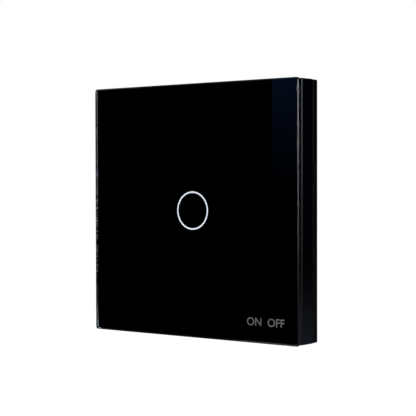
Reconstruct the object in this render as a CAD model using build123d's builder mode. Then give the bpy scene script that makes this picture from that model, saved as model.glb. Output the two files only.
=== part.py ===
"""Wireless light switch: a glass touch panel on a moulded battery unit that snaps onto a wall plate.

All sizes are in millimetres. X runs to the right and Z up. The wall is the plane Y = 0 and the
switch stands in front of it, towards -Y. Plane.XZ.offset(h) is the plane h in front of the wall,
and a positive extrude from it grows towards the glass. The origin is the middle of the plate's back.
"""
import os

from build123d import *

# Overall size
panel_size = 86.0
overall_depth = 12.0
corner_radius = 0.6
edge_break = 0.15

# Glass panel, the ink on its back and the tape behind it
glass_thickness = 2.0
glass_corner_radius = 1.0
glass_chamfer = 0.37
glass_bevel_width = 0.3
glass_bevel_depth = 1.1
print_thickness = 0.1
print_margin = 0.4
ring_diameter = 13.05
ring_line = 0.52
tape_thickness = 0.4
tape_margin = 1.3
tape_width = 5.0

# Clearances
slip = 0.1
thread_clearance = 0.02
touch_gap = 0.05

# Front housing
housing_inset = 0.06
housing_draft = 1.0
wall_thickness = 1.6
deck_thickness = 1.2
cavity_corner_radius = 1.5
boss_size = 7.0
boss_margin = 4.6
rib_thickness = 1.0
rib_place_x = 17.5
rib_place_z = 13.5

# Main board
board_thickness = 1.0
board_standoff = 1.05
board_side_margin = 10.3
board_end_margin = 6.3
board_key_width = 4.0
board_key_reach = 1.5
board_key_place = 13.0

# Light guide, lamps and touch electrode in the middle of the board
guide_width = 2.2
guide_flange_width = 1.2
guide_flange_thickness = 0.4
led_count = 4
led_length = 1.6
led_width = 0.8
led_height = 0.6
touch_pad_size = 7.0

# Chips and strip aerial on the rear of the board
chip_place_x = 15.5
chip_place_z = 17.5
chip_taper = 6.0
radio_chip_width = 3.9
radio_chip_length = 8.7
radio_chip_height = 1.5
radio_chip_pins = 7
radio_chip_pitch = 1.27
touch_chip_width = 1.6
touch_chip_length = 2.9
touch_chip_height = 1.0
touch_chip_pins = 3
touch_chip_pitch = 0.95
lead_thickness = 0.2
lead_width = 0.4
lead_reach = 0.9
crystal_length = 3.2
crystal_width = 2.5
crystal_height = 0.75
crystal_chamfer = 0.2
resistor_length = 1.6
resistor_width = 0.8
resistor_height = 0.45
resistor_pitch_x = 4.8
resistor_pitch_z = 2.4
resistor_columns = 3
resistor_rows = 4
aerial_span = 46.0
aerial_foot = 2.0
aerial_height = 1.5
aerial_width = 1.2
aerial_thickness = 0.3
aerial_margin = 4.0

# Coin cell, its well and its two contacts
cell_diameter = 20.0
cell_height = 3.2
cell_cap_diameter = 16.6
cell_shoulder_height = 0.4
cell_rim_chamfer = 0.4
cell_clearance = 0.4
cell_to_middle = 9.6
well_wall = 1.1
contact_thickness = 0.2
contact_arch = 0.5
leaf_width = 3.0
leaf_foot = 2.4
leaf_flat = 2.0
clip_width = 5.0
clip_foot = 3.6
clip_clearance = 0.2

# Back cover and battery door
cover_thickness = 1.2
cover_rib = 1.0
door_thickness = 0.8
door_rebate = 1.8
door_ear_reach = 2.8
door_ear_radius = 3.0
door_boss_radius = 2.0
door_boss_height = 1.8
nail_notch_radius = 3.0

# Screws
case_screw_radius = 0.95
case_screw_length = 3.6
case_head_radius = 1.75
case_head_height = 0.7
door_screw_radius = 0.8
door_screw_length = 2.8
door_head_radius = 1.4
door_head_height = 0.6
screw_slot = 0.35

# Wall plate
plate_height = 2.75
plate_gap = 0.15
plate_inset = 0.13
plate_floor = 1.2
plate_rim = 1.9
plate_back_break = 0.25
window_clearance = 2.0
window_place = 20.0
window_corner_radius = 3.0
window_rib = 1.0
window_rib_height = 0.9
slot_pitch = 60.0
slot_length = 8.0
slot_width = 4.0
slot_floor = 0.9
slot_pocket_margin = 2.2
pad_length = 62.0
pad_width = 5.4
pad_thickness = 0.5
pad_margin = 4.65
pad_fit = 0.2

# Snap hooks of the wall plate and the notch for the blade that levers the unit off
hook_margin = 6.5
hook_spacing = 44.0
hook_width = 8.0
hook_thickness = 1.1
hook_nose = 0.45
hook_nose_height = 1.4
hook_grip = 0.35
hook_clearance = 0.2
notch_length = 7.0
notch_place = 12.1
notch_depth = 1.1

# Heights in front of the wall
unit_back = plate_height + plate_gap
glass_back = overall_depth - glass_thickness
print_back = glass_back - print_thickness
housing_front = print_back - tape_thickness
deck_back = housing_front - deck_thickness
board_front = deck_back - board_standoff
board_back = board_front - board_thickness
cover_front = unit_back + cover_thickness
door_front = unit_back + door_thickness
cell_back = door_front + slip
cell_front = cell_back + cell_height

# Plan sizes and places
print_size = panel_size - 2 * print_margin
tape_size = panel_size - 2 * tape_margin
housing_size = panel_size - 2 * housing_inset
cavity_size = housing_size - 2 * wall_thickness
cover_size = cavity_size - 2 * slip
plate_size = panel_size - 2 * plate_inset
board_width = cavity_size - 2 * board_side_margin
board_length = cavity_size - 2 * board_end_margin
boss_spacing = cavity_size - 2 * boss_margin
ring_radius = (ring_diameter - ring_line) / 2
guide_radius = ring_radius + guide_width / 2
guide_bore = ring_radius - guide_width / 2
flange_radius = guide_radius + guide_flange_width
bay_radius = cell_diameter / 2 + cell_clearance
cell_place = -(bay_radius + cell_to_middle)
door_radius = bay_radius + door_rebate
ear_place = door_radius + door_ear_reach
hook_place = cavity_size / 2 - hook_margin

# Places of the screws
case_bosses = [(x * boss_spacing / 2, z * boss_spacing / 2) for x in (-1, 1) for z in (-1, 1)]
door_ears = [(-ear_place, cell_place), (ear_place, cell_place)]


def cross_section(z):
    """The level plane at height z, with X to the right and the height in front of the wall upwards."""
    return Plane(origin=(0, 0, z), x_dir=(1, 0, 0), z_dir=(0, 0, -1))


def screws(places, seat, radius, length, head_radius, head_height):
    """Slotted pan-head screws that point at the glass, with their heads bearing at height seat."""
    with BuildPart() as group:
        with BuildSketch(Plane.XZ.offset(seat)):
            with Locations(*places):
                Circle(radius)
        extrude(amount=length)
        with BuildSketch(Plane.XZ.offset(seat)):
            with Locations(*places):
                Circle(head_radius)
        extrude(amount=-head_height)
        with BuildSketch(Plane.XZ.offset(seat - head_height)):
            with Locations(*places):
                Rectangle(2 * head_radius, screw_slot)
        extrude(amount=head_height / 2, mode=Mode.SUBTRACT)
    return group


def chip(place, width, length, height, pins, pitch):
    """A moulded chip on the rear of the board, with gull-wing leads along its two long sides."""
    x, z = place
    with BuildPart() as body:
        with BuildSketch(Plane.XZ.offset(board_back - lead_thickness)):
            with Locations(place):
                Rectangle(width, length)
        extrude(amount=lead_thickness - height, taper=chip_taper)
        for pin in range(pins):
            row = z + (pin - (pins - 1) / 2) * pitch
            with BuildSketch(cross_section(row)):
                for side in (-1, 1):
                    foot = board_back - lead_thickness / 2
                    with BuildLine():
                        Polyline((x + side * (width / 2 + lead_reach), foot),
                                 (x + side * (width / 2 + lead_reach / 2), foot),
                                 (x + side * (width / 2 + lead_reach / 3), board_back - height / 2),
                                 (x + side * (width / 2 - lead_reach / 3), board_back - height / 2))
                    trace(line_width=lead_thickness)
            extrude(amount=lead_width / 2, both=True)
    return body


def door_outline(grow):
    """The round battery door with an ear for a screw on each side, larger by grow all round."""
    with Locations((0, cell_place)):
        Circle(door_radius + grow)
        SlotCenterToCenter(2 * ear_place, 2 * (door_ear_radius + grow))


# Glass panel: one sheet with a polished front chamfer and a steep bevel to the rear
with BuildPart() as glass_panel:
    with BuildSketch(Plane.XZ.offset(glass_back)):
        RectangleRounded(panel_size, panel_size, glass_corner_radius)
    extrude(amount=glass_thickness)
    chamfer(glass_panel.faces().sort_by(Axis.Y)[0].edges(), glass_chamfer)
    rear_face = glass_panel.faces().sort_by(Axis.Y)[-1]
    chamfer(rear_face.edges(), glass_bevel_width, glass_bevel_depth, reference=rear_face)

# Black ink on the back of the glass, open where the ring lights
with BuildPart() as black_print:
    with BuildSketch(Plane.XZ.offset(print_back)):
        Rectangle(print_size, print_size)
        Circle(ring_diameter / 2, mode=Mode.SUBTRACT)
        Circle(ring_diameter / 2 - ring_line)
    extrude(amount=print_thickness)

# White translucent ink that fills the ring
with BuildPart() as ring_window:
    with BuildSketch(Plane.XZ.offset(print_back)):
        Circle(ring_diameter / 2)
        Circle(ring_diameter / 2 - ring_line, mode=Mode.SUBTRACT)
    extrude(amount=print_thickness)

# Double-sided tape frame between the inked glass and the housing
with BuildPart() as panel_tape:
    with BuildSketch(Plane.XZ.offset(housing_front)):
        Rectangle(tape_size, tape_size)
        Rectangle(tape_size - 2 * tape_width, tape_size - 2 * tape_width, mode=Mode.SUBTRACT)
    extrude(amount=tape_thickness)

# Front housing: a drafted tray open to the rear, with a ribbed deck, corner bosses and keys for the board
with BuildPart() as front_housing:
    with BuildSketch(Plane.XZ.offset(unit_back + edge_break)) as housing_outline:
        RectangleRounded(housing_size, housing_size, corner_radius)
    extrude(amount=-edge_break, taper=45)
    extrude(housing_outline.sketch, amount=housing_front - unit_back - 2 * edge_break, taper=housing_draft)
    extrude(front_housing.faces().sort_by(Axis.Y)[0], amount=edge_break, taper=45)
    with BuildSketch(Plane.XZ.offset(unit_back)):
        RectangleRounded(cavity_size, cavity_size, cavity_corner_radius)
    extrude(amount=deck_back - unit_back, mode=Mode.SUBTRACT)
    with BuildSketch(Plane.XZ.offset(deck_back)):
        with GridLocations(2 * rib_place_x, 0, 2, 1):
            Rectangle(rib_thickness, cavity_size)
        with GridLocations(0, 2 * rib_place_z, 1, 2):
            Rectangle(cavity_size, rib_thickness)
    extrude(amount=-board_standoff)
    with BuildSketch(Plane.XZ.offset(deck_back)):
        with GridLocations(cavity_size - boss_size, cavity_size - boss_size, 2, 2):
            Rectangle(boss_size, boss_size)
    extrude(amount=cover_front - deck_back)
    with BuildSketch(Plane.XZ.offset(deck_back)):
        key_length = board_end_margin + board_key_reach
        with GridLocations(2 * board_key_place, cavity_size - key_length, 2, 2):
            Rectangle(board_key_width, key_length)
    extrude(amount=board_back - deck_back)
    with BuildSketch(Plane.XZ.offset(cover_front)):
        with Locations(*case_bosses):
            Circle(case_screw_radius + thread_clearance)
    extrude(amount=case_screw_length, mode=Mode.SUBTRACT)
    with BuildSketch(Plane.XZ.offset(deck_back)):
        Circle(guide_radius + slip)
    extrude(amount=deck_thickness, mode=Mode.SUBTRACT)

# Light guide: a diffuser ring in the deck's opening, with a flange behind the deck
with BuildPart() as light_guide:
    with BuildSketch(Plane.XZ.offset(deck_back)):
        Circle(guide_radius)
        Circle(guide_bore, mode=Mode.SUBTRACT)
    extrude(amount=print_back - touch_gap - deck_back)
    with BuildSketch(Plane.XZ.offset(deck_back)):
        Circle(flange_radius)
        Circle(guide_bore, mode=Mode.SUBTRACT)
    extrude(amount=-guide_flange_thickness)

# Touch electrode: a block of conductive foam between the board and the inked glass
with BuildPart() as touch_pad:
    with BuildSketch(Plane.XZ.offset(board_front)):
        Rectangle(touch_pad_size, touch_pad_size)
    extrude(amount=print_back - board_front)

# Four lamps under the light guide
with BuildPart() as ring_leds:
    with BuildSketch(Plane.XZ.offset(board_front)):
        with PolarLocations(ring_radius, led_count, start_angle=180 / led_count):
            Rectangle(led_width, led_length)
    extrude(amount=led_height)

# Main board, cut out for the coin cell and notched for the housing's four keys
with BuildPart() as main_board:
    with BuildSketch(Plane.XZ.offset(board_back)):
        Rectangle(board_width, board_length)
        with Locations((0, cell_place)):
            Circle(bay_radius + slip, mode=Mode.SUBTRACT)
        with GridLocations(2 * board_key_place, board_length, 2, 2):
            Rectangle(board_key_width + 2 * slip, 2 * (board_key_reach + slip), mode=Mode.SUBTRACT)
    extrude(amount=board_thickness)

# Chips, clock can, small components and strip aerial on the rear of the board
radio_chip = chip((-chip_place_x, chip_place_z), radio_chip_width, radio_chip_length,
                  radio_chip_height, radio_chip_pins, radio_chip_pitch)
touch_chip = chip((chip_place_x, 0), touch_chip_width, touch_chip_length,
                  touch_chip_height, touch_chip_pins, touch_chip_pitch)

with BuildPart() as crystal:
    with BuildSketch(Plane.XZ.offset(board_back)):
        with Locations((0, chip_place_z)):
            Rectangle(crystal_width, crystal_length)
    extrude(amount=-crystal_height)
    chamfer(crystal.faces().sort_by(Axis.Y)[-1].edges(), crystal_chamfer)

with BuildPart() as chip_components:
    with BuildSketch(Plane.XZ.offset(board_back)):
        with Locations((chip_place_x, chip_place_z)):
            with GridLocations(resistor_pitch_x, resistor_pitch_z, resistor_columns, resistor_rows):
                Rectangle(resistor_length, resistor_width)
    extrude(amount=-resistor_height)

aerial_foot_level = board_back - aerial_thickness / 2
with BuildPart() as aerial:
    with BuildSketch(cross_section(board_length / 2 - aerial_margin)):
        with BuildLine():
            Polyline((-aerial_span / 2 - aerial_foot, aerial_foot_level),
                     (-aerial_span / 2, aerial_foot_level),
                     (-aerial_span / 2, aerial_foot_level - aerial_height),
                     (aerial_span / 2, aerial_foot_level - aerial_height),
                     (aerial_span / 2, aerial_foot_level),
                     (aerial_span / 2 + aerial_foot, aerial_foot_level))
        trace(line_width=aerial_thickness)
    extrude(amount=aerial_width / 2, both=True)

# Coin cell: the can, with the crimped shoulder and the cap towards the glass
with BuildPart() as coin_cell:
    with BuildSketch(Plane.XZ.offset(cell_back)):
        with Locations((0, cell_place)):
            Circle(cell_diameter / 2)
    extrude(amount=cell_height)
    chamfer(coin_cell.faces().sort_by(Axis.Y)[-1].edges(), cell_rim_chamfer)
    chamfer(coin_cell.faces().sort_by(Axis.Y)[0].edges(), cell_shoulder_height,
            (cell_diameter - cell_cap_diameter) / 2)

# Negative contact: an arched leaf soldered on both sides of the cell's cut-out
leaf_end = bay_radius + slip + leaf_foot
leaf_floor = board_front + contact_thickness / 2
leaf_touch = cell_front + touch_gap + contact_thickness / 2
with BuildPart() as negative_contact:
    with BuildSketch(cross_section(cell_place)):
        with BuildLine():
            Polyline((-leaf_end, leaf_floor), (-leaf_end + leaf_foot, leaf_floor),
                     (-cell_cap_diameter / 2, leaf_floor + contact_arch), (-leaf_flat / 2, leaf_touch),
                     (leaf_flat / 2, leaf_touch), (cell_cap_diameter / 2, leaf_floor + contact_arch),
                     (leaf_end - leaf_foot, leaf_floor), (leaf_end, leaf_floor))
        trace(line_width=contact_thickness)
    extrude(amount=leaf_width / 2, both=True)

# Positive contact: a clip soldered beside the cut-out that bears on the side of the can
clip_bend = cell_place + bay_radius + slip + contact_thickness / 2
clip_touch = cell_place + cell_diameter / 2 + touch_gap + contact_thickness / 2
clip_low = cell_back + cell_rim_chamfer
with BuildPart() as positive_contact:
    with BuildSketch(Plane(origin=(0, 0, 0), x_dir=(0, 0, 1), z_dir=(1, 0, 0))):
        with BuildLine():
            Polyline((clip_bend + clip_foot, board_back - contact_thickness / 2),
                     (clip_bend, board_back - contact_thickness / 2),
                     (clip_touch, (board_back + clip_low) / 2),
                     (clip_bend, clip_low))
        trace(line_width=contact_thickness)
    extrude(amount=clip_width / 2, both=True)

# Back cover: closes the tray, with the cell well, the door's recess and slots for the snap hooks
case_seat = unit_back + case_head_height + touch_gap
rim_length = cavity_size - 2 * boss_size - 2 * slip
slot_outer = hook_place + hook_thickness / 2 + slip
slot_inner = hook_place - hook_thickness / 2 - hook_nose - slip
with BuildPart() as back_cover:
    with BuildSketch(Plane.XZ.offset(unit_back)):
        RectangleRounded(cover_size, cover_size, cavity_corner_radius)
    extrude(amount=cover_thickness)
    with BuildSketch(Plane.XZ.offset(cover_front)):
        with GridLocations(0, cover_size - cover_rib, 1, 2):
            Rectangle(rim_length, cover_rib)
        with GridLocations(cover_size - cover_rib, 0, 2, 1):
            Rectangle(cover_rib, rim_length)
    extrude(amount=cover_rib)
    with BuildSketch(Plane.XZ.offset(cover_front)):
        with Locations((0, cell_place)):
            Circle(bay_radius + well_wall)
    extrude(amount=board_back - slip - cover_front)
    with BuildSketch(Plane.XZ.offset(cover_front)):
        with Locations(*door_ears):
            Circle(door_boss_radius)
    extrude(amount=door_boss_height)
    with BuildSketch(Plane.XZ.offset(cover_front)):
        with Locations((0, cell_place + bay_radius)):
            Rectangle(clip_width + 2 * clip_clearance, 2 * (well_wall + slip))
    extrude(amount=board_back - cover_front, mode=Mode.SUBTRACT)
    with BuildSketch(Plane.XZ.offset(unit_back)):
        with Locations((0, cell_place)):
            Circle(bay_radius)
    extrude(amount=board_back - unit_back, mode=Mode.SUBTRACT)
    with BuildSketch(Plane.XZ.offset(unit_back)):
        door_outline(slip)
        with Locations((0, cell_place - door_radius)):
            Circle(nail_notch_radius)
    extrude(amount=door_thickness, mode=Mode.SUBTRACT)
    with BuildSketch(Plane.XZ.offset(unit_back)):
        with Locations(*door_ears):
            Circle(door_screw_radius + thread_clearance)
    extrude(amount=cover_thickness + door_boss_height, mode=Mode.SUBTRACT)
    with BuildSketch(Plane.XZ.offset(unit_back)):
        with Locations(*case_bosses):
            Circle(case_screw_radius + slip)
        with GridLocations(slot_outer + slot_inner, hook_spacing, 2, 2):
            Rectangle(slot_outer - slot_inner, hook_width + 2 * hook_clearance)
    extrude(amount=cover_thickness, mode=Mode.SUBTRACT)
    with BuildSketch(Plane.XZ.offset(unit_back)):
        with Locations(*case_bosses):
            Circle(case_head_radius + slip)
    extrude(amount=case_seat - unit_back, mode=Mode.SUBTRACT)

case_screws = screws(case_bosses, case_seat, case_screw_radius, case_screw_length,
                     case_head_radius, case_head_height)

# Battery door with its two captive screws
with BuildPart() as battery_door:
    with BuildSketch(Plane.XZ.offset(unit_back)):
        door_outline(0)
        with Locations(*door_ears):
            Circle(door_screw_radius + thread_clearance, mode=Mode.SUBTRACT)
    extrude(amount=door_thickness)

door_screws = screws(door_ears, unit_back, door_screw_radius, door_screw_length,
                     door_head_radius, door_head_height)

# Wall plate: a shallow tray with two windows, screw slots, snap hooks and the levering notch
window_width = 2 * (ear_place + door_ear_radius + window_clearance)
window_height = 2 * (door_radius + window_clearance)
pad_place = plate_size / 2 - pad_margin
with BuildPart() as wall_plate:
    with BuildSketch(Plane.XZ):
        RectangleRounded(plate_size, plate_size, corner_radius)
    extrude(amount=plate_height)
    chamfer(wall_plate.faces().sort_by(Axis.Y)[-1].edges(), plate_back_break)
    chamfer(wall_plate.faces().sort_by(Axis.Y)[0].edges(), edge_break)
    with BuildSketch(Plane.XZ.offset(plate_floor)):
        tray_size = plate_size - 2 * plate_rim
        RectangleRounded(tray_size, tray_size, cavity_corner_radius)
    extrude(amount=plate_height - plate_floor, mode=Mode.SUBTRACT)
    with BuildSketch(Plane.XZ.offset(plate_floor)):
        with GridLocations(0, 2 * window_place, 1, 2):
            RectangleRounded(window_width + 2 * window_rib, window_height + 2 * window_rib,
                             window_corner_radius + window_rib)
    extrude(amount=window_rib_height)
    with BuildSketch(Plane.XZ):
        with GridLocations(0, 2 * window_place, 1, 2):
            RectangleRounded(window_width, window_height, window_corner_radius)
        with GridLocations(slot_pitch, 0, 2, 1):
            SlotOverall(slot_length, slot_width)
        with GridLocations(2 * hook_place + hook_thickness + hook_nose + slip, hook_spacing, 2, 2):
            Rectangle(hook_nose + slip, hook_width)
    extrude(amount=plate_height, mode=Mode.SUBTRACT)
    with BuildSketch(Plane.XZ.offset(slot_floor)):
        with GridLocations(slot_pitch, 0, 2, 1):
            SlotOverall(slot_length + 2 * slot_pocket_margin, slot_width + 2 * slot_pocket_margin)
    extrude(amount=plate_floor - slot_floor, mode=Mode.SUBTRACT)
    with BuildSketch(Plane.XZ):
        with GridLocations(0, 2 * pad_place, 1, 2):
            Rectangle(pad_length, pad_width)
    extrude(amount=pad_thickness, mode=Mode.SUBTRACT)
    for z in (-hook_spacing / 2, hook_spacing / 2):
        with BuildSketch(cross_section(z)):
            inner = hook_place - hook_thickness / 2
            outer = hook_place + hook_thickness / 2
            catch = cover_front + touch_gap
            with BuildLine():
                Polyline((inner, plate_floor), (outer, plate_floor), (outer, catch),
                         (outer + hook_nose, catch), (outer + hook_nose, catch + hook_grip),
                         (outer, catch + hook_nose_height), (inner, catch + hook_nose_height),
                         (inner, plate_floor))
            make_face()
            mirror(about=Plane.YZ)
        extrude(amount=hook_width / 2, both=True)
    with BuildSketch(Plane.XZ.offset(plate_height)):
        with Locations((plate_size / 2 - plate_rim / 2, notch_place)):
            Rectangle(2 * plate_rim, notch_length)
    extrude(amount=-notch_depth, mode=Mode.SUBTRACT)

# Two foam strips that stick the plate to a smooth wall
with BuildPart() as adhesive_pads:
    with BuildSketch(Plane.XZ):
        with GridLocations(0, 2 * pad_place, 1, 2):
            Rectangle(pad_length - 2 * pad_fit, pad_width - 2 * pad_fit)
    extrude(amount=pad_thickness)

sub_parts = {
    "glass_panel": glass_panel,
    "black_print": black_print,
    "ring_window": ring_window,
    "panel_tape": panel_tape,
    "front_housing": front_housing,
    "light_guide": light_guide,
    "touch_pad": touch_pad,
    "ring_leds": ring_leds,
    "main_board": main_board,
    "radio_chip": radio_chip,
    "touch_chip": touch_chip,
    "crystal": crystal,
    "chip_components": chip_components,
    "aerial": aerial,
    "negative_contact": negative_contact,
    "positive_contact": positive_contact,
    "coin_cell": coin_cell,
    "back_cover": back_cover,
    "case_screws": case_screws,
    "battery_door": battery_door,
    "door_screws": door_screws,
    "wall_plate": wall_plate,
    "adhesive_pads": adhesive_pads,
}

os.makedirs("parts", exist_ok=True)
for name, sub_part in sub_parts.items():
    sub_part.part.label = name
    export_step(sub_part.part, f"parts/{name}.step")
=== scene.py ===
"""Looks of the wireless light switch: glass, mouldings, metal, board parts, foam, studio and camera.

Sizes are in millimetres, turned into metres by MM. X runs to the right, Z up, and the switch faces -Y.
"""
import math

import bpy
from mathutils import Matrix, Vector, noise as relief_noise

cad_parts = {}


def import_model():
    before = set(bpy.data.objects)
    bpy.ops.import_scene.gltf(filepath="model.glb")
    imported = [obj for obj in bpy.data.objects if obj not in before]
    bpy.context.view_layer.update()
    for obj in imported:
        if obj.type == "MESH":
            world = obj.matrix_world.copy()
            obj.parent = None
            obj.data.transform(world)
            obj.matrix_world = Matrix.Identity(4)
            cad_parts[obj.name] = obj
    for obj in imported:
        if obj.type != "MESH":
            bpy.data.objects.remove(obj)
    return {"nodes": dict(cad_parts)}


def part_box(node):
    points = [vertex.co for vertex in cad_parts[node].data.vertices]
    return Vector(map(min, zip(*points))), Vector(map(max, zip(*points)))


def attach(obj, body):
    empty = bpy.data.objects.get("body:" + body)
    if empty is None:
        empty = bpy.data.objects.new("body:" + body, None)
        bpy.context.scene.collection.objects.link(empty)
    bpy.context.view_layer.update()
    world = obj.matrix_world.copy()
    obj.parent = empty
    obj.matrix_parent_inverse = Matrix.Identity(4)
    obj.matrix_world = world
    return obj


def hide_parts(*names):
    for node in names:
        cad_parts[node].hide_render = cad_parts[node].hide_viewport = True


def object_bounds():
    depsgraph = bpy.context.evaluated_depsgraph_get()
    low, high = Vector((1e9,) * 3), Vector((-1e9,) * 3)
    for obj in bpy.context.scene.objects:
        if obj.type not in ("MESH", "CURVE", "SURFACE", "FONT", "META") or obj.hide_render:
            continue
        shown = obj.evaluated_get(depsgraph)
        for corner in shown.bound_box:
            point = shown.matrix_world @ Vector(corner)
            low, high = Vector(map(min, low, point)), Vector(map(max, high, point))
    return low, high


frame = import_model()
cad_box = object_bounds()
nodes = frame["nodes"]
MM = 0.001

# Camera, solved from the edges of the front and of the side
camera_place = (248.07, -340.43, 8.84)
camera_yaw = 36.233
camera_pitch = -1.109
camera_roll = 0.124
focal_length = 105.20
sensor_width = 36.0
nearest_seen = 10.0

# Ground left edge of the glass: even above and at its foot, and crossed by grinding lines between them.
# The lined stretch is given by the heights where the lines begin, are full, start to fade and end
ground_reach = 0.36
ground_roughness = (0.2, 0.5)
ground_grain = 2.2
lined_stretch = (-27.0, -22.0, 3.0, 6.0)
line_roughness = 0.8
line_pitch = 0.9
line_stretch = (12, 12, 1)
line_edge = (0.45, 0.55)

# Prints on the back of the glass. The black ink grips it, and the ring lies a hair behind it, to let its
# light out. A capital letter is as high as that share of the font's size
ink_grip = 0.006
ink_grain = 0.4
ink_roughness = (0.42, 0.6)
ring_gap = 0.01
ring_line = 0.52
ring_segments = 128
# Strength of the painted glow on the ring's white ink
ring_painted_glow = 0.85
legend_words = "ON  OFF"
legend_middle = (29.6, -36.25)
legend_height = 2.75
legend_boldness = 0.03
legend_thickness = 0.01
capital_share = 0.73

# Moulded plastic: satin, and eroded, with the rings of ejector pins, where it faces the front or the rear.
# There the relief is that many times deeper, and the rings are that many times deeper than the grain
rear_facing = 0.8
rear_albedo = 0.012
rear_roughness = (0.42, 0.58)
rear_grain = 2.5
rear_relief = 3
satin_grain = 6.0
satin_spread = 0.12
speckle_grain = 0.35
speckle = (0.75, 1.3)
relief_grain = 0.14
relief_strength = 0.6
plastic_tint = (1.0, 1.0, 1.12)
pin_pitch = 11.0
pin_radius = 1.4
pin_line = 0.2
pin_depth = 10

# How far the roughness of a plain material wanders to each side of its own value
wander = 0.2

# Foam strips. Their steps are the faces along and across
strip_width = 5.0
strip_rounding = 0.14
rounding_angles = (0, 30, 60, 90)
strip_crown = 0.03
strip_relief = 0.02
strip_relief_grain = 0.9
strip_steps = (150, 14)
foam_grain = 3.0
foam_roughness = (0.75, 0.95)
pore_size = 0.28
pore_edge = (0.1, 0.55)
pore_depth = 0.05

# Plus marks of the door and of the cell, with bevelled sides: their top is a share of their foot's size
mark_size = 5.0
mark_line = 0.8
mark_top_share = 0.94
mark_sink = 0.02
door_mark_height = 0.3
cell_mark_height = 0.08

# Studio. The floor glows by a share, and is paper for the rest of it
floor_size = 6000.0
floor_gap = 0.05
floor_white = 1.12
floor_glow = 0.86
floor_paper = 0.8
ambient = 0.72
lamp_distance = 1100
lamp_size = 700

# Cards. Level ones lie in layers over the floor, and end at these distances from the faces of the switch
floor_level = cad_box[0].z / MM - floor_gap
right = cad_box[1].x / MM
front = cad_box[0].y / MM
card_layer = 0.01
side_gap = 0.2
front_gap = 1
rear_gap = 2
rear_inset = 8
flag_radius = 900
flag_height = 900
black = (0.0, 0.0, 0.0)
white = (1.0, 1.0, 1.0)
window_blue = (0.12, 0.38, 1.0)
night_blue = (0.0, 0.0015, 0.018)
floor_blue = (0.62, 0.70, 1.0)
chamfer_blue = (0.25, 0.6, 1.0)
left_grey = (0.75, 0.87, 1.0)


def node(tree, kind, **values):
    """A new shader node, with its properties and inputs set by name."""
    made = tree.nodes.new(kind)
    for key, value in values.items():
        if hasattr(made, key):
            setattr(made, key, value)
        else:
            made.inputs[key.replace("_", " ")].default_value = value
    return made


def place(tree, output="Object"):
    """The surface's own coordinates in metres, or another of its coordinates."""
    found = tree.nodes.get("Place") or node(tree, "ShaderNodeTexCoord", name="Place")
    return found.outputs[output]


def parts(tree, vector):
    """The X, Y and Z of a vector."""
    made = node(tree, "ShaderNodeSeparateXYZ")
    tree.links.new(vector, made.inputs["Vector"])
    return made.outputs


def noise(tree, grain, detail=2.0, stretch=(1, 1, 1)):
    """Noise with grains about that many millimetres wide, longer along an axis whose stretch is above 1."""
    mapping = node(tree, "ShaderNodeMapping")
    mapping.inputs["Scale"].default_value = [1 / (grain * MM * s) for s in stretch]
    tree.links.new(place(tree), mapping.inputs["Vector"])
    made = node(tree, "ShaderNodeTexNoise", Scale=1.0, Detail=detail)
    tree.links.new(mapping.outputs["Vector"], made.inputs["Vector"])
    return made.outputs["Fac"]


def span(tree, value, low, high, start=0.3, end=0.7):
    """A value that runs from start to end, spread between low and high and held there."""
    made = node(tree, "ShaderNodeMapRange", clamp=True)
    for name, number in zip(("From Min", "From Max", "To Min", "To Max"), (start, end, low, high)):
        made.inputs[name].default_value = number
    tree.links.new(value, made.inputs["Value"])
    return made.outputs["Result"]


def maths(tree, operation, first, second=None):
    """One step of arithmetic on one or two values, each a socket or a number."""
    made = node(tree, "ShaderNodeMath", operation=operation)
    for socket, value in zip(made.inputs, (first, second)):
        if isinstance(value, (int, float)):
            socket.default_value = value
        elif value is not None:
            tree.links.new(value, socket)
    return made.outputs["Value"]


def product(tree, first, second):
    """Two values multiplied."""
    return maths(tree, "MULTIPLY", first, second)


def blend_colours(tree, share, first, second):
    """A colour between two others, by a share."""
    made = node(tree, "ShaderNodeMix", data_type="RGBA")
    tree.links.new(share, made.inputs["Factor"])
    # The node's colour sockets share their names with other sockets, so they are found by number
    made.inputs[6].default_value = (*first, 1.0)
    made.inputs[7].default_value = (*second, 1.0)
    return made.outputs[2]


def mottle(tree, shader, value, first, second):
    """Base colour that wanders between two colours with a noise."""
    tint = blend_colours(tree, span(tree, value, 0, 1), first, second)
    tree.links.new(tint, shader.inputs["Base Color"])


def roughen(tree, shader, height, depth, strength=1.0):
    """Surface relief of that depth in millimetres, from a value between 0 and 1."""
    made = node(tree, "ShaderNodeBump", Strength=strength)
    made.inputs["Distance"].default_value = depth * MM
    tree.links.new(height, made.inputs["Height"])
    tree.links.new(made.outputs["Normal"], shader.inputs["Normal"])


def shader_material(name, colour, roughness, metallic=0.0, ior=1.5):
    """A material with one shader, its constant values set on the shader's own sockets."""
    made = bpy.data.materials.new(name)
    made.use_nodes = True
    shader = made.node_tree.nodes["Principled BSDF"]
    shader.inputs["Base Color"].default_value = (*colour, 1.0)
    shader.inputs["Roughness"].default_value = roughness
    shader.inputs["Metallic"].default_value = metallic
    shader.inputs["IOR"].default_value = ior
    return made, shader


def glass():
    """Clear glass, polished but for its ground left edge."""
    made, shader = shader_material("clear_glass", (0.93, 0.97, 0.99), 0.01, ior=1.52)
    shader.inputs["Transmission Weight"].default_value = 1.0
    tree = made.node_tree
    where = parts(tree, place(tree))
    left = maths(tree, "LESS_THAN", where["X"], cad_box[0].x + ground_reach * MM)
    begin, full, waning, end = (z * MM for z in lined_stretch)
    above = span(tree, where["Z"], 0, 1, begin, full)
    below = span(tree, where["Z"], 1, 0, waning, end)
    lined = product(tree, above, below)
    lines = span(tree, noise(tree, line_pitch, stretch=line_stretch), 0, line_roughness, *line_edge)
    even = span(tree, noise(tree, ground_grain, detail=3.0), *ground_roughness)
    elsewhere = maths(tree, "SUBTRACT", 1.0, lined)
    rough = maths(tree, "MAXIMUM", product(tree, lined, lines), product(tree, elsewhere, even))
    tree.links.new(product(tree, left, rough), shader.inputs["Roughness"])
    return made


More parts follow.
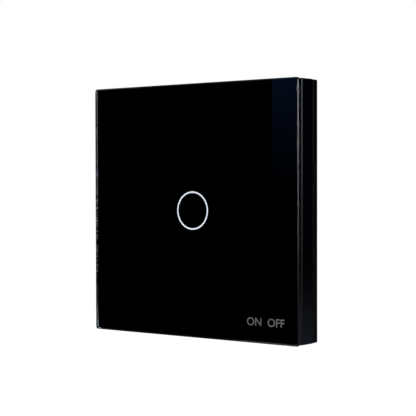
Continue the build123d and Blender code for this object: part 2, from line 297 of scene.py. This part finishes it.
def black_ink():
    """Opaque ink that gives back no light of its own."""
    made, shader = shader_material("black_ink", (0.0004, 0.0004, 0.0004), 0.5)
    shader.inputs["Specular IOR Level"].default_value = 0.0
    tree = made.node_tree
    value = noise(tree, ink_grain)
    mottle(tree, shader, value, (0.0002, 0.0002, 0.0003), (0.0005, 0.0005, 0.0006))
    tree.links.new(span(tree, value, *ink_roughness), shader.inputs["Roughness"])
    return made


def white_ink():
    """Translucent white ink with a faint painted glow, as if lit from behind, that keeps the ring bright
    behind the glass.
    """
    made, shader = shader_material("white_ink", (0.93, 0.94, 0.97), 0.5)
    tree = made.node_tree
    mottle(tree, shader, noise(tree, grain=0.5), (0.9, 0.92, 0.97), (0.95, 0.95, 0.96))
    # The emission is a painted glow on the ink, not a lamp
    shader.inputs["Emission Color"].default_value = (0.9, 0.95, 1.0, 1.0)
    shader.inputs["Emission Strength"].default_value = ring_painted_glow
    return made


def legend_ink():
    """White ink that isn't lit."""
    made, shader = shader_material("legend_ink", (0.9, 0.9, 0.92), 0.5)
    tree = made.node_tree
    mottle(tree, shader, noise(tree, grain=0.3), (0.87, 0.87, 0.89), (0.93, 0.93, 0.95))
    return made


def pin_rings(tree):
    """1 on the thin rings that ejector pins leave, in rows along X and Z, and 0 elsewhere."""
    where = parts(tree, place(tree))
    offsets = [maths(tree, "PINGPONG", where[axis], pin_pitch * MM) for axis in "XZ"]
    squares = [maths(tree, "POWER", offset, 2) for offset in offsets]
    reach = maths(tree, "SQRT", maths(tree, "ADD", *squares))
    off = maths(tree, "ABSOLUTE", maths(tree, "SUBTRACT", reach, pin_radius * MM))
    return span(tree, off, 1, 0, 0, pin_line * MM)


def black_plastic(name, roughness, relief, albedo=0.003, gloss=0.5):
    """Moulded black plastic: satin, and paler, matt and pin-marked on its front and rear faces."""
    made, shader = shader_material(name, (albedo, albedo, albedo), roughness)
    shader.inputs["Specular IOR Level"].default_value = gloss
    tree = made.node_tree
    facing = maths(tree, "ABSOLUTE", parts(tree, place(tree, "Normal"))["Y"])
    rear = maths(tree, "GREATER_THAN", facing, rear_facing)
    smooth = roughness * (1 - satin_spread)
    rough = roughness * (1 + satin_spread)
    satin = span(tree, noise(tree, satin_grain, detail=3.0), smooth, rough)
    matt = span(tree, noise(tree, rear_grain, detail=3.0), *rear_roughness)
    tree.links.new(maths(tree, "MAXIMUM", satin, product(tree, rear, matt)), shader.inputs["Roughness"])
    shade = product(tree, span(tree, noise(tree, speckle_grain), *speckle),
                    span(tree, rear, albedo, rear_albedo, 0, 1))
    tree.links.new(blend_colours(tree, shade, (0, 0, 0), plastic_tint), shader.inputs["Base Color"])
    grain = product(tree, noise(tree, relief_grain), span(tree, rear, 1, rear_relief, 0, 1))
    marks = product(tree, product(tree, rear, pin_rings(tree)), pin_depth)
    roughen(tree, shader, maths(tree, "SUBTRACT", grain, marks), relief, relief_strength)
    return made


def plain(name, colour, other, roughness, grain, metallic=0.0, relief=0.0, stretch=(1, 1, 1)):
    """A material whose colour and roughness wander between two values over grains of that width."""
    made, shader = shader_material(name, colour, roughness, metallic)
    tree = made.node_tree
    value = noise(tree, grain, detail=3.0, stretch=stretch)
    mottle(tree, shader, value, colour, other)
    smooth = roughness * (1 - wander)
    rough = min(roughness * (1 + wander), 1)
    tree.links.new(span(tree, value, smooth, rough), shader.inputs["Roughness"])
    if relief:
        roughen(tree, shader, value, relief)
    return made


def brushed(name, colour, other, roughness, grain, length=1):
    """Metal whose brushing is that many times longer along X than it is wide."""
    return plain(name, colour, other, roughness, grain, metallic=1.0, stretch=(length, 1, 1))


def foam():
    """Closed-cell foam: grey, with fine pores that are sunk by bump and painted darker as shade in their
    hollows.
    """
    made, shader = shader_material("grey_foam", (0.3, 0.31, 0.32), 0.85)
    tree = made.node_tree
    cells = node(tree, "ShaderNodeTexVoronoi", Scale=1 / (pore_size * MM))
    tree.links.new(place(tree), cells.inputs["Vector"])
    pore_hollows_and_shade = span(tree, cells.outputs["Distance"], 1, 0, *pore_edge)
    # The pores are painted darker than the foam round them: painted shade in their hollows
    tint = blend_colours(tree, pore_hollows_and_shade, (0.34, 0.35, 0.36), (0.2, 0.205, 0.21))
    tree.links.new(tint, shader.inputs["Base Color"])
    tree.links.new(span(tree, noise(tree, foam_grain), *foam_roughness), shader.inputs["Roughness"])
    roughen(tree, shader, pore_hollows_and_shade, -pore_depth)
    return made


def dress(material, *names):
    """Gives CAD nodes a material in place of their own."""
    for name in names:
        mesh = nodes[name].data
        mesh.materials.clear()
        mesh.materials.append(material)


def dress_case():
    """The glass, the tape behind it and the mouldings."""
    dress(glass(), "glass_panel")
    dress(plain("black_tape", (0.015, 0.015, 0.016), (0.022, 0.022, 0.023),
                roughness=0.8, grain=0.3, relief=0.01), "panel_tape")
    dress(black_plastic("housing_plastic", roughness=0.16, relief=0.0015, albedo=0.0008, gloss=0.4),
          "front_housing")
    dress(black_plastic("cover_plastic", roughness=0.5, relief=0.006), "back_cover", "battery_door")
    dress(black_plastic("plate_plastic", roughness=0.34, relief=0.003, albedo=0.002, gloss=0.12),
          "wall_plate")


def dress_board():
    """What lies inside, from the light guide back to the board and its parts."""
    dress(plain("diffuser", (0.86, 0.87, 0.88), (0.9, 0.9, 0.92), roughness=0.35, grain=0.5),
          "light_guide")
    dress(plain("conductive_foam", (0.13, 0.13, 0.14), (0.2, 0.2, 0.21),
                roughness=0.9, grain=0.25, relief=0.05), "touch_pad")
    dress(plain("lamp", (0.95, 0.9, 0.62), (0.95, 0.93, 0.85), roughness=0.3, grain=0.6), "ring_leds")
    dress(plain("green_board", (0.02, 0.15, 0.065), (0.03, 0.2, 0.09),
                roughness=0.35, grain=0.9, relief=0.01), "main_board")
    dress(plain("chip_black", (0.03, 0.03, 0.032), (0.045, 0.045, 0.047),
                roughness=0.6, grain=0.1, relief=0.01), "radio_chip", "touch_chip")
    dress(brushed("nickel", (0.66, 0.65, 0.62), (0.72, 0.71, 0.68), roughness=0.3, grain=0.3, length=6),
          "crystal", "negative_contact", "positive_contact")
    dress(plain("component_ceramic", (0.45, 0.33, 0.22), (0.5, 0.38, 0.27), roughness=0.5, grain=0.2),
          "chip_components")
    dress(brushed("brass_strip", (0.72, 0.58, 0.3), (0.78, 0.64, 0.36), roughness=0.3, grain=0.4,
                  length=6), "aerial")


def dress_cell_and_screws():
    """Brushed metal on the cell and the screws."""
    dress(brushed("cell_steel", (0.7, 0.7, 0.69), (0.75, 0.75, 0.74), roughness=0.28, grain=0.2,
                  length=20), "coin_cell")
    dress(brushed("screw_steel", (0.6, 0.6, 0.61), (0.66, 0.66, 0.66), roughness=0.3, grain=0.08),
          "case_screws", "door_screws")


def metres(points):
    """Points in millimetres, turned into metres."""
    return [[c * MM for c in point] for point in points]


def mesh_object(name, points, faces, material):
    """A mesh from points in metres."""
    mesh = bpy.data.meshes.new(name)
    mesh.from_pydata(points, [], faces)
    mesh.materials.append(material)
    made = bpy.data.objects.new(name, mesh)
    bpy.context.scene.collection.objects.link(made)
    return made


def stand_in(name, points, faces, material, node_name, body="unit"):
    """A mesh that stands in for a CAD node."""
    made = mesh_object(name, points, faces, material)
    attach(made, body)
    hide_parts(node_name)
    return made


def joined(loops, closed=False):
    """The faces between loops of points in a row, and from the last loop to the first where closed."""
    faces = []
    for loop in range(loops if closed else loops - 1):
        here = loop * ring_segments
        there = (loop + 1) % loops * ring_segments
        for step in range(ring_segments):
            after = (step + 1) % ring_segments
            faces.append((here + step, here + after, there + after, there + step))
    return faces


def circle(radius, y):
    """Points round a circle of that radius, about the middle of the ring."""
    turns = [step / ring_segments * math.tau for step in range(ring_segments)]
    return [(radius * math.cos(a), y, radius * math.sin(a)) for a in turns]


def square(half, y):
    """Points round a square, one for each point of the circle."""
    shares = [max(abs(x), abs(z)) for x, _, z in circle(1, 0)]
    return [(x / share * half, y, z / share * half) for (x, _, z), share in zip(circle(1, 0), shares)]


def ring_radii():
    """The outer and the inner radius of the ring."""
    low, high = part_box("ring_window")
    outer = (high.x - low.x) / 2
    return outer, outer - ring_line * MM


def ink():
    """Black ink that grips the back of the glass: a sheet round the ring and a disc inside it."""
    low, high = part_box("black_print")
    outer, inner = ring_radii()
    near = low.y - ink_grip * MM
    sheet = square(high.x, near) + square(high.x, high.y) + circle(outer, high.y) + circle(outer, near)
    disc = circle(inner, near) + circle(inner, high.y)
    start = len(sheet)
    middle = start + ring_segments
    faces = joined(4, closed=True)
    faces += [tuple(start + i for i in face) for face in joined(2)]
    faces += [tuple(range(start, middle)), tuple(range(middle, middle + ring_segments))]
    stand_in("ink", sheet + disc, faces, black_ink(), "black_print")


def ring():
    """White ring, in the place of its CAD node."""
    low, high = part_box("ring_window")
    outer, inner = ring_radii()
    near = low.y + ring_gap * MM
    points = circle(outer, near) + circle(outer, high.y) + circle(inner, high.y) + circle(inner, near)
    stand_in("ring", points, joined(4, closed=True), white_ink(), "ring_window")


def legend():
    """Words printed behind the glass."""
    curve = bpy.data.curves.new("legend", "FONT")
    curve.body = legend_words
    curve.align_x = "CENTER"
    curve.align_y = "CENTER"
    curve.size = legend_height * MM / capital_share
    curve.offset = legend_boldness * MM
    curve.extrude = legend_thickness * MM
    curve.materials.append(legend_ink())
    made = bpy.data.objects.new("legend", curve)
    bpy.context.scene.collection.objects.link(made)
    x, z = legend_middle
    made.location = (x * MM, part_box("black_print")[0].y, z * MM)
    made.rotation_euler = (math.pi / 2, 0, 0)
    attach(made, "unit")


def positions(half, rounding, count):
    """Places from -half to half, close together at the rounded ends and evenly spaced between them."""
    corner = [rounding * (1 - math.cos(math.radians(a))) for a in rounding_angles]
    middle = [-half + rounding + (2 * half - 2 * rounding) * step / count for step in range(1, count)]
    return [-half + c for c in corner] + middle + [half - c for c in reversed(corner)]


def strip_drops(x, z, half_length, middle):
    """What lowers the foam's face at a point: its rounded rim, its crown and its grain."""
    inside = min(half_length - abs(x), strip_width / 2 - abs(z), strip_rounding)
    rim = strip_rounding - math.sqrt(strip_rounding ** 2 - (strip_rounding - inside) ** 2)
    crown = strip_crown * (2 * z / strip_width) ** 2
    grain = strip_relief * (1 + relief_noise.noise(Vector((x, middle, z)) / strip_relief_grain)) / 2
    return rim, crown, grain


def strip(name, middle, material):
    """One foam strip: flat where it is stuck to the plate, crowned and softly rounded towards the wall."""
    low, high = (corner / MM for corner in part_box("adhesive_pads"))
    along = positions(high.x, strip_rounding, strip_steps[0])
    across = positions(strip_width / 2, strip_rounding, strip_steps[1])
    points = []
    for x in along:
        for z in across:
            rim, crown, grain = strip_drops(x, z, high.x, middle)
            points.append((x, high.y - rim - crown - grain, middle + z))
    rows = len(along)
    columns = len(across)
    faces = [(r * columns + c, r * columns + c + 1, (r + 1) * columns + c + 1, (r + 1) * columns + c)
             for r in range(rows - 1) for c in range(columns - 1)]
    border = list(range(columns))
    border += [r * columns + columns - 1 for r in range(1, rows)]
    border += [(rows - 1) * columns + c for c in range(columns - 2, -1, -1)]
    border += [r * columns for r in range(rows - 2, 0, -1)]
    base = len(points)
    count = len(border)
    points += [(points[i][0], low.y, points[i][2]) for i in border]
    faces += [(border[i], base + i, base + (i + 1) % count, border[(i + 1) % count]) for i in range(count)]
    faces.append(tuple(range(base + count - 1, base - 1, -1)))
    made = stand_in(name, metres(points), faces, material, "adhesive_pads", body="plate")
    for face in made.data.polygons:
        face.use_smooth = len(face.vertices) == 4


def strips():
    """The two foam strips, level with the upper and the lower end of their CAD node."""
    low, high = (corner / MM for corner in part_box("adhesive_pads"))
    material = foam()
    strip("foam_strip_top", high.z - strip_width / 2, material)
    strip("foam_strip_bottom", low.z + strip_width / 2, material)


def plus_mark(name, node_name, body, height):
    """A raised plus sign with bevelled edges on the rear of a node, in line with the cell."""
    half = mark_size / 2
    arm = mark_line / 2
    outline = [(arm, half), (arm, arm), (half, arm), (half, -arm), (arm, -arm), (arm, -half),
               (-arm, -half), (-arm, -arm), (-half, -arm), (-half, arm), (-arm, arm), (-arm, half)]
    cell_low, cell_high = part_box("coin_cell")
    middle = (cell_low.z + cell_high.z) / 2 / MM
    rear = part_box(node_name)[1].y / MM
    loops = ((rear - mark_sink, 1.0), (rear + height, mark_top_share))
    points = [(u * share, y, middle + v * share) for y, share in loops for u, v in outline]
    count = len(outline)
    faces = [(i, (i + 1) % count, count + (i + 1) % count, count + i) for i in range(count)]
    faces += [tuple(range(count - 1, -1, -1)), tuple(range(count, 2 * count))]
    made = mesh_object(name, metres(points), faces, nodes[node_name].data.materials[0])
    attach(made, body)


def where_seen(tree):
    """1 for what is seen, straight, in a reflection or through glass, and 0 for what lights the switch."""
    ray = node(tree, "ShaderNodeLightPath").outputs
    straight_or_reflected = maths(tree, "MAXIMUM", ray["Is Camera Ray"], ray["Is Glossy Ray"])
    return maths(tree, "MAXIMUM", straight_or_reflected, ray["Is Transmission Ray"])


def floor():
    """White paper that glows where it is seen, and keeps enough shade of its own to show the shadow."""
    made = bpy.data.materials.new("floor")
    made.use_nodes = True
    tree = made.node_tree
    tree.nodes.clear()
    glow = node(tree, "ShaderNodeEmission", Strength=floor_white)
    paper = node(tree, "ShaderNodeBsdfDiffuse", Color=(floor_paper, floor_paper, floor_paper, 1))
    mix = node(tree, "ShaderNodeMixShader")
    tree.links.new(product(tree, where_seen(tree), floor_glow), mix.inputs[0])
    tree.links.new(paper.outputs[0], mix.inputs[1])
    tree.links.new(glow.outputs[0], mix.inputs[2])
    out = node(tree, "ShaderNodeOutputMaterial")
    tree.links.new(mix.outputs[0], out.inputs["Surface"])
    half = floor_size / 2
    corners = [(x, y, floor_level) for x, y in oblong(-half, half, -half, half)]
    mesh_object("floor", metres(corners), [(0, 1, 2, 3)], made)


def world():
    """A world that is white where it is seen, and lights the switch a little less strongly."""
    made = bpy.data.worlds.new("world")
    bpy.context.scene.world = made
    made.use_nodes = True
    tree = made.node_tree
    tree.nodes.clear()
    background = node(tree, "ShaderNodeBackground", Color=(1, 1, 1, 1))
    tree.links.new(span(tree, where_seen(tree), ambient, 1.0, 0.0, 1.0), background.inputs["Strength"])
    out = node(tree, "ShaderNodeOutputWorld")
    tree.links.new(background.outputs[0], out.inputs["Surface"])


def fading(tree, strength, along, start, end, weakest, bend):
    """A glow that grows from weakest at start to strength at end, slower at first where bend is above 1.

    It grows along X, Y or Z, or with Value, the distance from the origin.
    """
    if along == "Value":
        measure = node(tree, "ShaderNodeVectorMath", operation="LENGTH")
        tree.links.new(place(tree), measure.inputs[0])
        value = measure.outputs["Value"]
    else:
        value = parts(tree, place(tree))[along]
    share = maths(tree, "POWER", span(tree, value, 0, 1, start * MM, end * MM), bend)
    return span(tree, share, weakest, strength, 0, 1)


def card(name, points, faces, colour, strength=1.0, fade=None, through_glass=False):
    """A card that only reflections see, and rays out of the glass where asked."""
    made = bpy.data.materials.new(name)
    made.use_nodes = True
    tree = made.node_tree
    tree.nodes.clear()
    light = node(tree, "ShaderNodeEmission", Strength=strength, Color=(*colour, 1))
    if fade:
        tree.links.new(fading(tree, strength, **fade), light.inputs["Strength"])
    out = node(tree, "ShaderNodeOutputMaterial")
    tree.links.new(light.outputs[0], out.inputs["Surface"])
    sheet = mesh_object(name, metres(points), faces, made)
    for kind in ("camera", "diffuse", "volume_scatter", "shadow"):
        setattr(sheet, f"visible_{kind}", False)
    sheet.visible_transmission = through_glass


def upright_card(name, plan, low, high, **looks):
    """An upright card over a line of points in plan."""
    count = len(plan)
    points = [(x, y, z) for z in (low, high) for x, y in plan]
    faces = [(i, i + 1, count + i + 1, count + i) for i in range(count - 1)]
    card(name, points, faces, **looks)


def level_card(name, plan, height, **looks):
    """A level card with that outline in plan."""
    card(name, [(x, y, height) for x, y in plan], [tuple(range(len(plan)))], **looks)


def around(azimuth, radius):
    """A point in plan, at that azimuth from the front towards the right."""
    angle = math.radians(azimuth)
    return (radius * math.sin(angle), -radius * math.cos(angle))


def arc(first, last, step, radius):
    """Points in plan from one azimuth to another."""
    return [around(azimuth, radius) for azimuth in range(first, last + 1, step)]


def oblong(x_low, x_high, y_low, y_high):
    """The corners in plan of a rectangle."""
    return [(x_low, y_low), (x_high, y_low), (x_high, y_high), (x_low, y_high)]


def front_cards():
    """What the front face reflects: black, but for a dim blue window at its upper right."""
    bend = arc(-100, 80, step=10, radius=flag_radius)
    upright_card("front_flag", bend, low=floor_level, high=flag_height, colour=black, through_glass=True)
    level_card("front_ground", oblong(-flag_radius, flag_radius, -flag_radius, front - front_gap),
               height=floor_level + 2 * card_layer, colour=black, through_glass=True)
    window = [(-352, -600), (-150, -640)]
    upright_card("corner_card", window, low=-10, high=300, colour=window_blue, strength=0.2,
                 fade=dict(along="Z", start=0, end=105, weakest=0.0, bend=1.3))


def edge_cards():
    """What the edges to the right reflect: a window, brightest at its top, and its trail on the floor."""
    window = arc(50, 66, step=16, radius=600)
    upright_card("edge_card", window, low=floor_level, high=260, colour=white, strength=4.6,
                 fade=dict(along="Z", start=-120, end=95, weakest=0.2, bend=2))
    level_card("edge_trail", [(right, front)] + window, height=floor_level + 4 * card_layer, colour=white,
               strength=0.6, fade=dict(along="Value", start=60, end=600, weakest=0.2, bend=1))


def right_cards():
    """What the right side reflects: the darkest blue, over a floor that is dim near the switch."""
    bend = arc(110, 220, step=5, radius=700)
    upright_card("right_flag", bend, low=floor_level, high=560, colour=night_blue)
    far_side = [around(108, radius=900), around(150, radius=1100), around(192, radius=900)]
    outline = [(right + side_gap, front - front_gap)] + far_side + [(right - rear_inset, rear_gap)]
    level_card("right_ground", outline, height=floor_level + 2 * card_layer, colour=floor_blue,
               strength=0.16, fade=dict(along="Value", start=500, end=50, weakest=0, bend=3))


def chamfer_cards():
    """What the chamfers above and below reflect: dim blue."""
    level_card("ceiling_card", oblong(-600, -150, -200, 300), height=500, colour=chamfer_blue, strength=0.2)
    level_card("under_card", oblong(-300, right + side_gap, front - front_gap, rear_gap),
               height=floor_level + 3 * card_layer, colour=chamfer_blue, strength=0.2)


def left_cards():
    """What shows through the ground left edge of the glass: a pale card, and paler ground at its foot."""
    bend = [(-110, -40), (-110, 60), (-60, 140)]
    upright_card("left_flag", bend, low=floor_level, high=150, colour=left_grey, strength=0.42,
                 fade=dict(along="Z", start=-4, end=5, weakest=0.0, bend=1), through_glass=True)
    level_card("left_ground", oblong(-110, -44, -40, 140), height=floor_level + card_layer,
               colour=left_grey, strength=2.4,
               fade=dict(along="Value", start=108, end=58, weakest=0.05, bend=3), through_glass=True)


def soft_lamp(name, azimuth, elevation, power):
    """A square soft lamp that points at the switch."""
    data = bpy.data.lights.new(name, "AREA")
    data.shape = "SQUARE"
    data.size = lamp_size * MM
    data.energy = power
    made = bpy.data.objects.new(name, data)
    bpy.context.scene.collection.objects.link(made)
    tilt = math.radians(elevation)
    x, y = around(azimuth, lamp_distance * math.cos(tilt))
    made.location = Vector((x, y, lamp_distance * math.sin(tilt))) * MM
    made.rotation_euler = made.location.to_track_quat("Z", "Y").to_euler()


def camera():
    """The photograph's camera."""
    data = bpy.data.cameras.new("camera")
    data.lens = focal_length
    data.sensor_width = sensor_width
    data.clip_start = nearest_seen * MM
    made = bpy.data.objects.new("camera", data)
    bpy.context.scene.collection.objects.link(made)
    made.location = Vector(camera_place) * MM
    made.rotation_euler = [math.radians(a) for a in (90 + camera_pitch, camera_roll, camera_yaw)]
    bpy.context.scene.camera = made


dress_case()
dress_board()
dress_cell_and_screws()

ink()
ring()
legend()
strips()
plus_mark("door_mark", "battery_door", "door", door_mark_height)
plus_mark("cell_mark", "coin_cell", "cell", cell_mark_height)

floor()
world()
front_cards()
edge_cards()
right_cards()
chamfer_cards()
left_cards()
soft_lamp("key_lamp", azimuth=-35, elevation=55, power=5)
soft_lamp("back_lamp", azimuth=195, elevation=45, power=3.5)
camera()
bpy.context.scene.view_settings.view_transform = "Standard"
